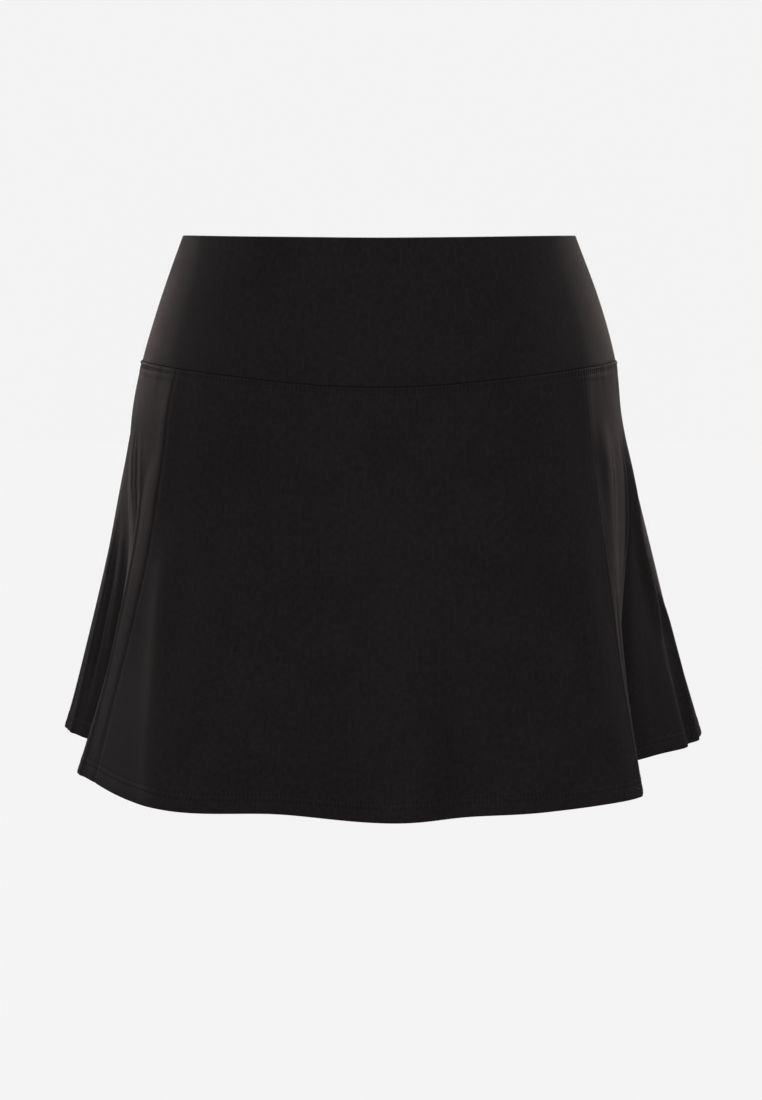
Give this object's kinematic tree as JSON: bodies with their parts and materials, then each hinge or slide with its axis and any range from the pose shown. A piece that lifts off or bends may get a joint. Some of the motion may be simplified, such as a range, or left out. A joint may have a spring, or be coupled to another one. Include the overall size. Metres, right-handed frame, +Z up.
{
  "type": "tennis skort",
  "caption": "Women's flared tennis skort: wide doubled yoke, panelled skirt with soft flutes at the hem and plain inner shorts, hollow and filled out as worn.",
  "frame": {"origin": "centre of the waist opening, level with the top edge of the yoke at the sides", "axes": "+Z up the wearer, +X to the wearer's left, -Y to the front"},
  "size_m": [0.4533, 0.328, 0.3694],
  "materials": {
    "yoke_jersey": "smooth matt black stretch jersey, two layers",
    "skirt_jersey": "smooth matt black stretch jersey with a faint warm sheen",
    "shorts_jersey": "lighter matt black stretch jersey"
  },
  "bodies": {
    "root": {"yoke_front": "yoke_jersey", "yoke_back": "yoke_jersey", "centre_front": "skirt_jersey", "side_front_left": "skirt_jersey", "side_front_right": "skirt_jersey", "side_left": "skirt_jersey", "side_right": "skirt_jersey", "side_back_left": "skirt_jersey", "side_back_right": "skirt_jersey", "centre_back": "skirt_jersey", "shorts_left": "shorts_jersey", "shorts_right": "shorts_jersey"}
  },
  "joints": []
}
